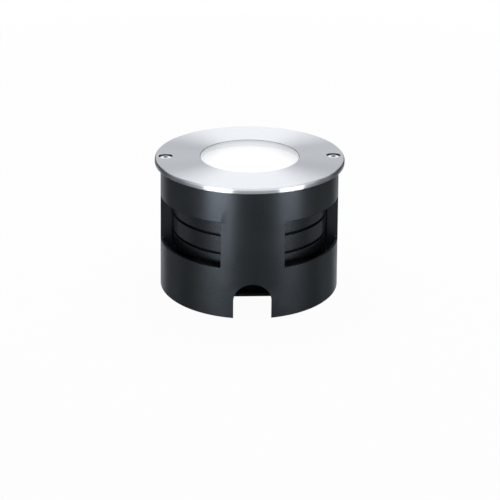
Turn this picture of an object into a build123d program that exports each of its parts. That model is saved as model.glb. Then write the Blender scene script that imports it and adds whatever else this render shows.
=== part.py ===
from build123d import *
import os
from math import degrees, hypot

os.makedirs("parts", exist_ok=True)

# Recessed ground spotlight: a mounting pot, a sealed lamp unit that hangs in it, and a trim ring.
# Millimetres, +Z up, origin at the centre of the pot's base, trim screws on X, cable notches on Y.

# Trim ring
ring_diameter = 110.0
ring_thickness = 3.5
ring_overhang = 3.3
ring_edge_chamfer = 0.4
opening_diameter = 57.1
opening_chamfer = 0.3

# Trim screws, button heads with a hexagon socket, sunk in counterbores
screw_diameter = 3.9
screw_length = 16.0
screw_tip_chamfer = 0.6
screw_head_diameter = 7.6
screw_head_height = 2.0
screw_head_edge = 0.4
screw_head_flat = 3.6
screw_socket_size = 2.5
screw_socket_depth = 1.2
screw_edge_distance = 3.0
screw_hole_clearance = 0.3
counterbore_depth = 2.3
counterbore_clearance = 0.3
thread_clearance = 0.05
thread_end_room = 3.0

# Mounting pot, a drafted moulding that is wider at the base
pot_draft = 1.3
pot_wall = 1.8
pot_floor = 1.6
pot_base_chamfer = 0.5
window_sill = 30.1
window_head = 57.6
window_corner = 0.8
pillar_angle = 40.2
column_angle = 11.0
column_clearance = 0.9
notch_width = 21.7
notch_height = 21.2
floor_bridge = 45.0
floor_cut_width = 30.0
drain_diameter = 8.0
drain_circle_diameter = 36.0
drain_count = 4
ledge_thickness = 2.5
ledge_clearance = 1.0
gusset_thickness = 2.0
gusset_window_margin = 2.0
gussets_per_window = 3
rib_width = 3.0
rib_reach = 1.0
rib_clearance = 0.4

# Lamp housing, a die-cast cup with turned grooves and a flange that rests on the pot's ledge
lamp_gap = 4.9
flange_thickness = 3.0
flange_clearance = 0.3
flange_notch_clearance = 0.4
groove_width = 1.7
groove_depth = 2.5
groove_pitch = 11.1
groove_count = 3
first_groove_drop = 11.4
base_inset = 4.2
base_bevel = 2.0
rim_width = 7.9
gasket_land = 4.3
optic_depth = 18.4
shelf_thickness = 4.0
chamber_height = 14.0
base_wall = 2.5
cover_land = 6.5

# Front glass, its gasket and its clamp ring
glass_flange = 4.5
glass_clearance = 0.3
glass_overlap = 1.5
glass_gap = 0.2
glass_chamfer = 0.4
gasket_thickness = 1.5
gasket_inset = 0.5
clamp_thickness = 3.7
clamp_clearance = 0.4
clamp_screw_count = 6

# Small screws
small_screw_diameter = 2.4
small_head_diameter = 5.4
small_head_height = 1.6
small_socket_size = 2.0
small_socket_depth = 0.9
small_screw_fit = 0.05
small_hole_clearance = 0.35
countersink_angle = 90.0
countersink_clearance = 0.1
clamp_screw_length = 11.0
cover_screw_length = 9.0
board_screw_length = 4.4
driver_screw_length = 4.6
blind_end = 0.5

# Light source on the shelf
pad_thickness = 0.5
led_board_diameter = 42.0
led_board_thickness = 1.6
led_board_edge = 4.0
board_screw_count = 3
chip_size = 3.0
chip_height = 0.8
chip_circle_diameter = 12.0
outer_chip_count = 6
reflector_foot_diameter = 20.0
reflector_wall = 1.1
reflector_clearance = 0.5
reflector_top_gap = 0.3

# Driver below the shelf
boss_height = 4.0
boss_diameter = 6.4
driver_board_gap = 2.5
driver_board_thickness = 1.6
driver_board_edge = 5.5
driver_screw_count = 3
component_clearance = 1.4
capacitor_diameter = 8.0
capacitor_place = (-10.0, 9.0)
inductor_size = 8.0
inductor_height = 4.2
inductor_corner = 1.0
inductor_place = (9.0, 9.0)
controller_size = (6.0, 5.0)
controller_place = (-9.0, -4.0)
rectifier_size = (5.0, 4.0)
rectifier_place = (10.0, -3.0)
driver_chip_height = 1.6
terminal_size = (15.0, 7.5)
terminal_height = 4.8
terminal_place = (0.0, -15.0)
terminal_ways = 3
terminal_pitch = 4.6
terminal_hole_diameter = 2.6

# Leads from the driver board to the LED board
lead_diameter = 1.4
lead_hole_clearance = 0.5
lead_rise = 2.4
lead_bend = 1.4
lead_run = 4.0
lead_pad_inset = 1.5
lead_angles = (20.0, 40.0)

# Base cover with the box that carries the cable gland
cover_plate = 3.0
cover_clearance = 0.3
cover_screw_count = 4
spigot_height = 4.0
spigot_wall = 4.0
spigot_clearance = 0.3
seal_diameter = 1.8
seal_fit = 0.02
seal_groove_width = 2.4
box_width = 22.0
box_length = 22.0
box_depth = 22.0
box_wall = 3.0
box_corner = 3.0
box_floor_gap = 3.4

# Cable gland, on the box's rear face and in line with the rear notch
gland_face = 13.0
gland_wall = 4.0
gland_axis_rise = 9.5
gland_thread_diameter = 12.0
gland_thread_fit = 0.05
gland_thread_end = 0.5
gland_hex_size = 16.0
gland_hex_length = 4.0
gland_sleeve_length = 8.0
gland_bore_diameter = 8.8
gland_washer_thickness = 1.0
cable_diameter = 6.5
bush_fit = 0.05
bush_length = 7.0
bush_flange_diameter = 11.0
bush_flange_length = 1.5
cap_hex_size = 15.0
cap_gap = 0.3
cap_end_wall = 1.7
cap_hole_clearance = 0.35
cap_crown_chamfer = 1.5

# Radii, from the outside inwards
ring_radius = ring_diameter / 2
opening_radius = opening_diameter / 2
pot_top_radius = ring_radius - ring_overhang
pot_base_radius = pot_top_radius + pot_draft
pot_mouth_radius = pot_top_radius - pot_wall
screw_circle = pot_top_radius - screw_edge_distance
housing_radius = pot_mouth_radius - lamp_gap
flange_radius = pot_mouth_radius - flange_clearance
column_radius = housing_radius + column_clearance
rib_radius = housing_radius - rib_reach
ledge_radius = housing_radius + ledge_clearance
recess_radius = housing_radius - rim_width
glass_radius = recess_radius - glass_clearance
glass_boss_radius = opening_radius + glass_overlap
optic_radius = recess_radius - gasket_land
clamp_screw_circle = housing_radius - rim_width / 2
base_radius = housing_radius - base_inset
cover_recess_radius = base_radius - base_wall
cover_radius = cover_recess_radius - cover_clearance
chamber_radius = cover_recess_radius - cover_land
cover_screw_circle = chamber_radius + cover_land / 2
spigot_radius = chamber_radius - spigot_clearance
led_board_radius = led_board_diameter / 2
board_screw_circle = led_board_radius - led_board_edge
driver_board_radius = chamber_radius - driver_board_gap
driver_screw_circle = driver_board_radius - driver_board_edge
small_hole_radius = small_screw_diameter / 2 + small_screw_fit
small_clear_radius = small_screw_diameter / 2 + small_hole_clearance

# Heights, from the pot's base upwards
box_bottom = pot_floor + box_floor_gap
housing_bottom = box_bottom + box_depth
cover_seat = housing_bottom + cover_plate
shelf_bottom = cover_seat + chamber_height
shelf_top = shelf_bottom + shelf_thickness
gasket_seat = shelf_top + optic_depth
glass_seat = gasket_seat + gasket_thickness
rim_top = glass_seat + glass_flange
flange_seat = rim_top - flange_thickness
pot_height = rim_top + clamp_thickness
ring_top = pot_height + ring_thickness
screw_seat = ring_top - counterbore_depth
led_board_seat = shelf_top + pad_thickness
led_board_top = led_board_seat + led_board_thickness
driver_board_top = shelf_bottom - boss_height
driver_board_bottom = driver_board_top - driver_board_thickness
component_room = driver_board_bottom - cover_seat
gland_axis = box_bottom + gland_axis_rise

# Distances along the gland's axis, from the box's face outwards
gland_seat = gland_face + gland_washer_thickness
gland_shoulder = gland_seat + gland_hex_length
gland_mouth = gland_shoulder + gland_sleeve_length
cap_foot = gland_shoulder + cap_gap
cap_roof = gland_mouth + bush_flange_length + cap_gap
cap_end = cap_roof + cap_end_wall

cut_margin = 2.0
screw_sides = (("left", -screw_circle), ("right", screw_circle))
column_places = (0.0, 180.0)
window_sweep = 90.0 - pillar_angle / 2 - column_angle / 2
window_starts = (
    column_angle / 2,
    90.0 + pillar_angle / 2,
    180.0 + column_angle / 2,
    270.0 + pillar_angle / 2,
)


def pot_outside(height):
    # Outer radius of the drafted pot wall at a height
    return pot_base_radius + (pot_top_radius - pot_base_radius) * height / pot_height


def radial_plane(angle):
    # Plane through the part's axis: x runs outwards at the angle, y runs up
    return Plane.XZ.rotated((0, 0, angle))


def half_section(*points, angle=0.0):
    # Closed outline of (radius, height) points in a radial plane, ready to revolve
    with BuildSketch(radial_plane(angle)) as section:
        with BuildLine():
            Polyline(*points, close=True)
        make_face()
    return section.sketch


def box_section(inner, outer, low, high, angle=0.0):
    # Rectangle in a radial plane between two radii and two heights
    return half_section((inner, low), (outer, low), (outer, high), (inner, high), angle=angle)


def socket_head(size, depth, top):
    # Hexagon socket cut into a screw head from its top
    with BuildSketch(Plane.XY.offset(top)) as socket:
        RegularPolygon(size / 2, 6, major_radius=False)
    return extrude(socket.sketch, amount=-depth, mode=Mode.PRIVATE)


def countersunk_screw(length):
    # Small countersunk screw, its flat head at z = 0 and its tip down
    shank = small_screw_diameter / 2
    head = small_head_diameter / 2
    with BuildPart() as screw:
        revolve(half_section((0, 0), (head, 0), (shank, shank - head), (shank, -length), (0, -length)))
        add(socket_head(small_socket_size, small_socket_depth, 0), mode=Mode.SUBTRACT)
    return screw.part


def cheese_screw(length):
    # Small cheese-head screw, the underside of its head at z = 0 and its tip down
    shank = small_screw_diameter / 2
    head = small_head_diameter / 2
    with BuildPart() as screw:
        revolve(box_section(0, head, 0, small_head_height))
        revolve(box_section(0, shank, -length, 0))
        add(socket_head(small_socket_size, small_socket_depth, small_head_height), mode=Mode.SUBTRACT)
    return screw.part


def button_screw():
    # Trim screw with a domed button head, the underside of its head at z = 0 and its tip down
    shank = screw_diameter / 2
    head = screw_head_diameter / 2
    flat = screw_head_flat / 2
    dome_rise = screw_head_height - screw_head_edge
    dome_drop = (head**2 - flat**2 - dome_rise**2) / (2 * dome_rise)
    with BuildPart() as screw:
        with BuildSketch(Plane.XZ):
            with BuildLine():
                Polyline(
                    (0, screw_head_height),
                    (0, -screw_length),
                    (shank - screw_tip_chamfer, -screw_length),
                    (shank, screw_tip_chamfer - screw_length),
                    (shank, 0),
                    (head, 0),
                    (head, screw_head_edge),
                )
                RadiusArc((head, screw_head_edge), (flat, screw_head_height), -hypot(head, dome_drop))
                Line((flat, screw_head_height), (0, screw_head_height))
            make_face()
        revolve(axis=Axis.Z)
        add(socket_head(screw_socket_size, screw_socket_depth, screw_head_height), mode=Mode.SUBTRACT)
    return screw.part


# Trim ring: turned plate with a chamfered rim, the lens opening and two counterbored holes
with BuildPart() as trim_ring:
    with BuildSketch(Plane.XY.offset(pot_height)):
        Circle(ring_radius)
        Circle(opening_radius, mode=Mode.SUBTRACT)
    extrude(amount=ring_thickness)
    rims = trim_ring.edges().group_by(Axis.Z)[-1].sort_by(SortBy.RADIUS)
    chamfer(rims[-1], ring_edge_chamfer)
    chamfer(rims[0], opening_chamfer)
    with Locations(*[(place, 0, ring_top) for side, place in screw_sides]):
        CounterBoreHole(
            screw_diameter / 2 + screw_hole_clearance,
            screw_head_diameter / 2 + counterbore_clearance,
            counterbore_depth,
        )
trim_ring.part.label = "trim_ring"
export_step(trim_ring.part, "parts/trim_ring.step")

# Trim screws: one node each, because each one turns by itself
for side, place in screw_sides:
    with BuildPart() as trim_screw:
        with Locations((place, 0, screw_seat)):
            add(button_screw())
    trim_screw.part.label = f"trim_screw_{side}"
    export_step(trim_screw.part, f"parts/trim_screw_{side}.step")

# Window: a sector of the pot's wall with rounded corners, cut once in each quadrant
with BuildPart() as window:
    revolve(
        box_section(column_radius, pot_base_radius + cut_margin, window_sill, window_head),
        revolution_arc=window_sweep,
    )
    fillet(window.edges().filter_by(GeomType.LINE).filter_by(Axis.Z, reverse=True), window_corner)

# Gusset: a triangle under the ledge, from the pot's wall to the ledge's inner edge
ledge_bottom = flange_seat - ledge_thickness
gusset_foot = window_head + gusset_window_margin
gusset_root = pot_outside(gusset_foot) - pot_wall / 2
with BuildPart() as gusset:
    with BuildSketch(Plane.XZ):
        with BuildLine():
            Polyline(
                (gusset_root, gusset_foot),
                (gusset_root, ledge_bottom),
                (ledge_radius, ledge_bottom),
                close=True,
            )
        make_face()
    extrude(amount=gusset_thickness / 2, both=True)

# Mounting pot: drafted shell with a ledge, two ribbed screw columns, four windows and two cable notches
with BuildPart() as mounting_pot:
    revolve(
        half_section(
            (0, 0),
            (pot_base_radius - pot_base_chamfer, 0),
            (pot_outside(pot_base_chamfer), pot_base_chamfer),
            (pot_top_radius, pot_height),
            (pot_mouth_radius, pot_height),
            (pot_outside(flange_seat) - pot_wall, flange_seat),
            (ledge_radius, flange_seat),
            (ledge_radius, ledge_bottom),
            (pot_outside(ledge_bottom) - pot_wall, ledge_bottom),
            (pot_outside(pot_floor) - pot_wall, pot_floor),
            (0, pot_floor),
        )
    )
    for start in window_starts:
        add(window.part, rotation=(0, 0, start), mode=Mode.SUBTRACT)
        for step in range(gussets_per_window):
            gusset_angle = start + window_sweep * (step + 0.5) / gussets_per_window
            add(gusset.part, rotation=(0, 0, gusset_angle))
    for place in column_places:
        revolve(
            half_section(
                (column_radius, 0),
                (pot_base_radius - pot_wall / 2, 0),
                (pot_top_radius - pot_wall / 2, pot_height),
                (column_radius, pot_height),
                angle=place - column_angle / 2,
            ),
            revolution_arc=column_angle,
        )
    rib_root = column_radius + pot_wall / 2
    with BuildSketch(Plane.XY.offset(pot_floor)):
        for side in (1, -1):
            with Locations((side * (rib_radius + rib_root) / 2, 0)):
                Rectangle(rib_root - rib_radius, rib_width)
    extrude(amount=ledge_bottom - pot_floor)
    with Locations(*[(place, 0, pot_height) for side, place in screw_sides]):
        Hole(screw_diameter / 2 + thread_clearance, depth=screw_length + thread_end_room)
    notch_depth = pot_base_radius - floor_bridge / 2
    for side in (1, -1):
        with BuildSketch(Plane.XZ.offset(side * floor_bridge / 2)):
            spring = notch_height - notch_width / 2
            with Locations((0, spring)):
                Circle(notch_width / 2)
            with Locations((0, spring / 2 - cut_margin / 2)):
                Rectangle(notch_width, spring + cut_margin)
        extrude(amount=side * (notch_depth + cut_margin), mode=Mode.SUBTRACT)
    with BuildSketch(Plane.XY):
        Circle(pot_outside(pot_floor) - pot_wall)
        Rectangle(floor_cut_width, 2 * pot_base_radius, mode=Mode.INTERSECT)
        Rectangle(floor_cut_width, floor_bridge, mode=Mode.SUBTRACT)
    extrude(amount=pot_floor, mode=Mode.SUBTRACT)
    with PolarLocations(drain_circle_diameter / 2, drain_count, start_angle=180 / drain_count):
        Hole(drain_diameter / 2, depth=pot_floor)
mounting_pot.part.label = "mounting_pot"
export_step(mounting_pot.part, "parts/mounting_pot.step")

# Lamp housing: optic chamber above the shelf, driver chamber below it; grooves, keyways and flange outside
groove_heights = [flange_seat - first_groove_drop - groove_pitch * k for k in range(groove_count)]
flange_notch_angle = column_angle + 2 * degrees(flange_notch_clearance / column_radius)
clamp_hole_depth = clamp_screw_length - clamp_thickness + blind_end
cover_hole_depth = cover_screw_length - cover_plate + blind_end
lead_circle = led_board_radius - lead_pad_inset + lead_run
with BuildPart() as lamp_housing:
    revolve(
        half_section(
            (0, shelf_top),
            (optic_radius, shelf_top),
            (optic_radius, gasket_seat),
            (recess_radius, gasket_seat),
            (recess_radius, rim_top),
            (flange_radius, rim_top),
            (flange_radius, flange_seat),
            (housing_radius, flange_seat),
            (housing_radius, housing_bottom + base_bevel),
            (base_radius, housing_bottom),
            (cover_recess_radius, housing_bottom),
            (cover_recess_radius, cover_seat),
            (chamber_radius, cover_seat),
            (chamber_radius, shelf_bottom),
            (0, shelf_bottom),
        )
    )
    for height in groove_heights:
        revolve(
            box_section(
                housing_radius - groove_depth,
                housing_radius + cut_margin,
                height - groove_width / 2,
                height + groove_width / 2,
            ),
            mode=Mode.SUBTRACT,
        )
    for place in column_places:
        revolve(
            box_section(
                column_radius - flange_notch_clearance,
                flange_radius + cut_margin,
                flange_seat - cut_margin,
                rim_top + cut_margin,
                angle=place - flange_notch_angle / 2,
            ),
            revolution_arc=flange_notch_angle,
            mode=Mode.SUBTRACT,
        )
    with BuildSketch(Plane.XY.offset(housing_bottom)):
        for side in (1, -1):
            with Locations((side * housing_radius, 0)):
                Rectangle(2 * (rib_reach + rib_clearance), rib_width + 2 * rib_clearance)
    extrude(amount=flange_seat - housing_bottom, mode=Mode.SUBTRACT)
    with BuildSketch(Plane.XY.offset(shelf_bottom)):
        with PolarLocations(driver_screw_circle, driver_screw_count, start_angle=90):
            Circle(boss_diameter / 2)
    extrude(amount=-boss_height)
    with BuildSketch(Plane.XY.offset(driver_board_top)):
        with PolarLocations(driver_screw_circle, driver_screw_count, start_angle=90):
            Circle(small_hole_radius)
    extrude(amount=boss_height, mode=Mode.SUBTRACT)
    with BuildSketch(Plane.XY.offset(shelf_top)):
        with PolarLocations(board_screw_circle, board_screw_count, start_angle=90):
            Circle(small_hole_radius)
    extrude(amount=led_board_top - shelf_top - board_screw_length - blind_end, mode=Mode.SUBTRACT)
    with BuildSketch(Plane.XY.offset(rim_top)):
        with PolarLocations(clamp_screw_circle, clamp_screw_count, start_angle=180 / clamp_screw_count):
            Circle(small_hole_radius)
    extrude(amount=-clamp_hole_depth, mode=Mode.SUBTRACT)
    with BuildSketch(Plane.XY.offset(cover_seat)):
        with PolarLocations(cover_screw_circle, cover_screw_count, start_angle=180 / cover_screw_count):
            Circle(small_hole_radius)
    extrude(amount=cover_hole_depth, mode=Mode.SUBTRACT)
    with BuildSketch(Plane.XY.offset(shelf_top)):
        for angle in lead_angles:
            with PolarLocations(lead_circle, 1, start_angle=angle):
                Circle(lead_diameter / 2 + lead_hole_clearance)
    extrude(amount=-shelf_thickness, mode=Mode.SUBTRACT)
lamp_housing.part.label = "lamp_housing"
export_step(lamp_housing.part, "parts/lamp_housing.step")

# Front glass: thick disc whose raised middle fills the trim ring's opening from below
glass_top = pot_height - glass_gap
with BuildPart() as front_glass:
    revolve(
        half_section(
            (0, glass_seat),
            (glass_radius, glass_seat),
            (glass_radius, rim_top),
            (glass_boss_radius, rim_top),
            (glass_boss_radius, glass_top - glass_chamfer),
            (glass_boss_radius - glass_chamfer, glass_top),
            (0, glass_top),
        )
    )
front_glass.part.label = "front_glass"
export_step(front_glass.part, "parts/front_glass.step")

# Glass gasket: flat ring on the housing's inner land
with BuildPart() as glass_gasket:
    revolve(box_section(optic_radius + gasket_inset, glass_radius, gasket_seat, glass_seat))
glass_gasket.part.label = "glass_gasket"
export_step(glass_gasket.part, "parts/glass_gasket.step")

# Clamp ring: covers the glass flange and the housing rim, and carries the trim ring
with BuildPart() as clamp_ring:
    revolve(box_section(glass_boss_radius + clamp_clearance, housing_radius, rim_top, pot_height))
    with Locations((0, 0, pot_height)):
        with PolarLocations(clamp_screw_circle, clamp_screw_count, start_angle=180 / clamp_screw_count):
            CounterSinkHole(
                small_clear_radius,
                small_head_diameter / 2 + countersink_clearance,
                counter_sink_angle=countersink_angle,
            )
clamp_ring.part.label = "clamp_ring"
export_step(clamp_ring.part, "parts/clamp_ring.step")

# Clamp screws
with BuildPart() as clamp_screws:
    with Locations((0, 0, pot_height - small_screw_fit)):
        with PolarLocations(clamp_screw_circle, clamp_screw_count, start_angle=180 / clamp_screw_count):
            add(countersunk_screw(clamp_screw_length))
clamp_screws.part.label = "clamp_screws"
export_step(clamp_screws.part, "parts/clamp_screws.step")

# Thermal pad, LED board and LED chips, stacked on the shelf
with BuildPart() as thermal_pad:
    with BuildSketch(Plane.XY.offset(shelf_top)):
        Circle(led_board_radius)
        with PolarLocations(board_screw_circle, board_screw_count, start_angle=90):
            Circle(small_clear_radius, mode=Mode.SUBTRACT)
    extrude(amount=pad_thickness)
thermal_pad.part.label = "thermal_pad"
export_step(thermal_pad.part, "parts/thermal_pad.step")

with BuildPart() as led_board:
    with BuildSketch(Plane.XY.offset(led_board_seat)):
        Circle(led_board_radius)
        with PolarLocations(board_screw_circle, board_screw_count, start_angle=90):
            Circle(small_clear_radius, mode=Mode.SUBTRACT)
    extrude(amount=led_board_thickness)
led_board.part.label = "led_board"
export_step(led_board.part, "parts/led_board.step")

with BuildPart() as led_chips:
    with BuildSketch(Plane.XY.offset(led_board_top)):
        Rectangle(chip_size, chip_size)
        with PolarLocations(chip_circle_diameter / 2, outer_chip_count):
            Rectangle(chip_size, chip_size)
    extrude(amount=chip_height)
led_chips.part.label = "led_chips"
export_step(led_chips.part, "parts/led_chips.step")

with BuildPart() as board_screws:
    with Locations((0, 0, led_board_top)):
        with PolarLocations(board_screw_circle, board_screw_count, start_angle=90):
            add(cheese_screw(board_screw_length))
board_screws.part.label = "board_screws"
export_step(board_screws.part, "parts/board_screws.step")

# Reflector: cone from the LED board to the mouth of the optic chamber
reflector_foot = reflector_foot_diameter / 2
reflector_mouth = optic_radius - reflector_clearance
reflector_top = gasket_seat - reflector_top_gap
with BuildPart() as reflector:
    revolve(
        half_section(
            (reflector_foot - reflector_wall, led_board_top),
            (reflector_foot, led_board_top),
            (reflector_mouth, reflector_top),
            (reflector_mouth - reflector_wall, reflector_top),
        )
    )
reflector.part.label = "reflector"
export_step(reflector.part, "parts/reflector.step")

# Driver board on the shelf's bosses, its parts on the underside
with BuildPart() as driver_board:
    with BuildSketch(Plane.XY.offset(driver_board_bottom)):
        Circle(driver_board_radius)
        with PolarLocations(driver_screw_circle, driver_screw_count, start_angle=90):
            Circle(small_clear_radius, mode=Mode.SUBTRACT)
    extrude(amount=driver_board_thickness)
driver_board.part.label = "driver_board"
export_step(driver_board.part, "parts/driver_board.step")

with BuildPart() as driver_screws:
    with Locations((0, 0, driver_board_bottom)):
        with PolarLocations(driver_screw_circle, driver_screw_count, start_angle=90):
            add(cheese_screw(driver_screw_length), rotation=(180, 0, 0))
driver_screws.part.label = "driver_screws"
export_step(driver_screws.part, "parts/driver_screws.step")

with BuildPart() as smoothing_capacitor:
    with BuildSketch(Plane.XY.offset(driver_board_bottom)):
        with Locations(capacitor_place):
            Circle(capacitor_diameter / 2)
    extrude(amount=component_clearance - component_room)
smoothing_capacitor.part.label = "smoothing_capacitor"
export_step(smoothing_capacitor.part, "parts/smoothing_capacitor.step")

with BuildPart() as drive_inductor:
    with BuildSketch(Plane.XY.offset(driver_board_bottom)):
        with Locations(inductor_place):
            RectangleRounded(inductor_size, inductor_size, inductor_corner)
    extrude(amount=-inductor_height)
drive_inductor.part.label = "drive_inductor"
export_step(drive_inductor.part, "parts/drive_inductor.step")

with BuildPart() as driver_chips:
    with BuildSketch(Plane.XY.offset(driver_board_bottom)):
        with Locations(controller_place):
            Rectangle(*controller_size)
        with Locations(rectifier_place):
            Rectangle(*rectifier_size)
    extrude(amount=-driver_chip_height)
driver_chips.part.label = "driver_chips"
export_step(driver_chips.part, "parts/driver_chips.step")

with BuildPart() as terminal_block:
    with BuildSketch(Plane.XY.offset(driver_board_bottom)):
        with Locations(terminal_place):
            Rectangle(*terminal_size)
    extrude(amount=-terminal_height)
    with BuildSketch(Plane.XY.offset(driver_board_bottom - terminal_height)):
        with Locations(terminal_place):
            with GridLocations(terminal_pitch, 0, terminal_ways, 1):
                Circle(terminal_hole_diameter / 2)
    extrude(amount=terminal_height / 2, mode=Mode.SUBTRACT)
terminal_block.part.label = "terminal_block"
export_step(terminal_block.part, "parts/terminal_block.step")

# LED leads: up from the driver board through the shelf, over, and down on the LED board
lead_top = led_board_top + lead_rise
lead_pad = led_board_radius - lead_pad_inset
with BuildPart() as led_leads:
    for angle in lead_angles:
        with BuildLine(radial_plane(angle)) as route:
            FilletPolyline(
                (lead_circle, driver_board_top),
                (lead_circle, lead_top),
                (lead_pad, lead_top),
                (lead_pad, led_board_top),
                radius=lead_bend,
            )
        with BuildSketch(Plane(origin=route.line @ 0, z_dir=route.line % 0)):
            Circle(lead_diameter / 2)
        sweep()
led_leads.part.label = "led_leads"
export_step(led_leads.part, "parts/led_leads.step")

# Base cover: plate with a sealing spigot above and the gland box below
box_front = gland_face - box_length
seal_groove_radius = spigot_radius - seal_diameter + spigot_clearance - 2 * seal_fit
seal_height = cover_seat + spigot_height / 2
with BuildPart() as base_cover:
    revolve(box_section(0, cover_radius, housing_bottom, cover_seat))
    revolve(
        box_section(
            spigot_radius - spigot_wall, spigot_radius, cover_seat, cover_seat + spigot_height
        )
    )
    revolve(
        box_section(
            seal_groove_radius,
            chamber_radius,
            seal_height - seal_groove_width / 2,
            seal_height + seal_groove_width / 2,
        ),
        mode=Mode.SUBTRACT,
    )
    with BuildSketch(Plane.XY.offset(housing_bottom)):
        with Locations((0, box_front + box_length / 2)):
            RectangleRounded(box_width, box_length, box_corner)
    extrude(amount=-box_depth)
    chamfer(base_cover.faces().sort_by(Axis.Z)[0].edges(), box_corner / 2)
    with BuildSketch(Plane.XY.offset(cover_seat)):
        with Locations((0, (box_front + box_wall + gland_face - gland_wall) / 2)):
            Rectangle(box_width - 2 * box_wall, box_length - box_wall - gland_wall)
    extrude(amount=box_wall - cover_plate - box_depth, mode=Mode.SUBTRACT)
    with BuildSketch(Plane.XZ.offset(-gland_face)):
        with Locations((0, gland_axis)):
            Circle(gland_thread_diameter / 2 + gland_thread_fit)
    extrude(amount=gland_wall, mode=Mode.SUBTRACT)
    with Locations(Location((0, 0, housing_bottom), (180, 0, 0))):
        with PolarLocations(cover_screw_circle, cover_screw_count, start_angle=180 / cover_screw_count):
            CounterSinkHole(
                small_clear_radius,
                small_head_diameter / 2 + countersink_clearance,
                depth=cover_plate,
                counter_sink_angle=countersink_angle,
            )
base_cover.part.label = "base_cover"
export_step(base_cover.part, "parts/base_cover.step")

# Cover seal: O-ring in the spigot's groove
with BuildPart() as cover_seal:
    with Locations((0, 0, seal_height)):
        Torus(seal_groove_radius + seal_fit + seal_diameter / 2, seal_diameter / 2)
cover_seal.part.label = "cover_seal"
export_step(cover_seal.part, "parts/cover_seal.step")

# Cover screws, heads down
with BuildPart() as cover_screws:
    with Locations((0, 0, housing_bottom + small_screw_fit)):
        with PolarLocations(cover_screw_circle, cover_screw_count, start_angle=180 / cover_screw_count):
            add(countersunk_screw(cover_screw_length), rotation=(180, 0, 0))
cover_screws.part.label = "cover_screws"
export_step(cover_screws.part, "parts/cover_screws.step")

# Cable gland, turned about an axis that runs to the rear through the notch
gland_line = Axis((0, 0, gland_axis), (0, 1, 0))
gland_plane = Plane(origin=(0, 0, gland_axis), x_dir=(1, 0, 0), z_dir=(0, 1, 0))
thread_radius = gland_thread_diameter / 2
bore_radius = gland_bore_diameter / 2
cable_radius = cable_diameter / 2

with BuildPart() as gland_washer:
    with BuildSketch(gland_plane.offset(gland_face)):
        Circle(gland_hex_size / 2)
        Circle(thread_radius + gland_thread_fit, mode=Mode.SUBTRACT)
    extrude(amount=gland_washer_thickness)
gland_washer.part.label = "gland_washer"
export_step(gland_washer.part, "parts/gland_washer.step")

with BuildPart() as gland_body:
    with BuildSketch(gland_plane.offset(gland_face - gland_wall + gland_thread_end)):
        Circle(thread_radius)
    extrude(amount=gland_mouth - gland_face + gland_wall - gland_thread_end)
    with BuildSketch(gland_plane.offset(gland_seat)):
        RegularPolygon(gland_hex_size / 2, 6, major_radius=False)
    extrude(amount=gland_hex_length)
    with BuildSketch(gland_plane.offset(gland_mouth)):
        Circle(bore_radius)
    extrude(amount=gland_face - gland_wall - gland_mouth, mode=Mode.SUBTRACT)
gland_body.part.label = "gland_body"
export_step(gland_body.part, "parts/gland_body.step")

with BuildPart() as gland_bush:
    with BuildSketch(gland_plane.offset(gland_mouth - bush_length)):
        Circle(bore_radius - bush_fit)
    extrude(amount=bush_length)
    with BuildSketch(gland_plane.offset(gland_mouth)):
        Circle(bush_flange_diameter / 2)
    extrude(amount=bush_flange_length)
    with BuildSketch(gland_plane.offset(gland_mouth - bush_length)):
        Circle(cable_radius)
    extrude(amount=bush_length + bush_flange_length, mode=Mode.SUBTRACT)
gland_bush.part.label = "gland_bush"
export_step(gland_bush.part, "parts/gland_bush.step")

with BuildPart() as gland_cap:
    with BuildSketch(gland_plane.offset(cap_foot)):
        RegularPolygon(cap_hex_size / 2, 6, major_radius=False)
    extrude(amount=cap_end - cap_foot)
    chamfer(gland_cap.faces().sort_by(Axis.Y)[-1].edges(), cap_crown_chamfer)
    with BuildSketch(gland_plane.offset(cap_foot)):
        Circle(thread_radius + gland_thread_fit)
    extrude(amount=cap_roof - cap_foot, mode=Mode.SUBTRACT)
    with BuildSketch(gland_plane.offset(cap_roof)):
        Circle(cable_radius + cap_hole_clearance)
    extrude(amount=cap_end_wall, mode=Mode.SUBTRACT)
gland_cap.part.label = "gland_cap"
export_step(gland_cap.part, "parts/gland_cap.step")
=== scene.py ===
import math

import bmesh
import bpy
from mathutils import Matrix, Vector


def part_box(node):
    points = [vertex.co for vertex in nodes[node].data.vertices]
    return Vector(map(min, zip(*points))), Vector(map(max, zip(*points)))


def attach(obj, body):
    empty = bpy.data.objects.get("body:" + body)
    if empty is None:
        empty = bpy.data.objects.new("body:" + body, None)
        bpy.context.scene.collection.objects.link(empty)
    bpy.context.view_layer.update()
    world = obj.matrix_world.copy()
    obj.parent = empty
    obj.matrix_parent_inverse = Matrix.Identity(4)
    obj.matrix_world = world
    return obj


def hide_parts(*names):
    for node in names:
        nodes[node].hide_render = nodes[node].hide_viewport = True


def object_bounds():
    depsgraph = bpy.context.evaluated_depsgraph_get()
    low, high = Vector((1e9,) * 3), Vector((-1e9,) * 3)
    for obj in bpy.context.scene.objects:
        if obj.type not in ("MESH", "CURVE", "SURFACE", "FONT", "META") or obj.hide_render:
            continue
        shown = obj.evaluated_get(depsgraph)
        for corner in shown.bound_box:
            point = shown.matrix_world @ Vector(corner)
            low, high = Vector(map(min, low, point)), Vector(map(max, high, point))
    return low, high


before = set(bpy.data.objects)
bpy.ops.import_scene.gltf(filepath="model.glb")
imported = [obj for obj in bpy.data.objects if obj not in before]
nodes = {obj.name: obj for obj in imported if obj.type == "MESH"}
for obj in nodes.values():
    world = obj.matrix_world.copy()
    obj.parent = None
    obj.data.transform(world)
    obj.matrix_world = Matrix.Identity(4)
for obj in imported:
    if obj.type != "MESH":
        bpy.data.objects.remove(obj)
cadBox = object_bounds()
scene = bpy.context.scene
scene.view_settings.view_transform = "Standard"
mm = 0.001
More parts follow.
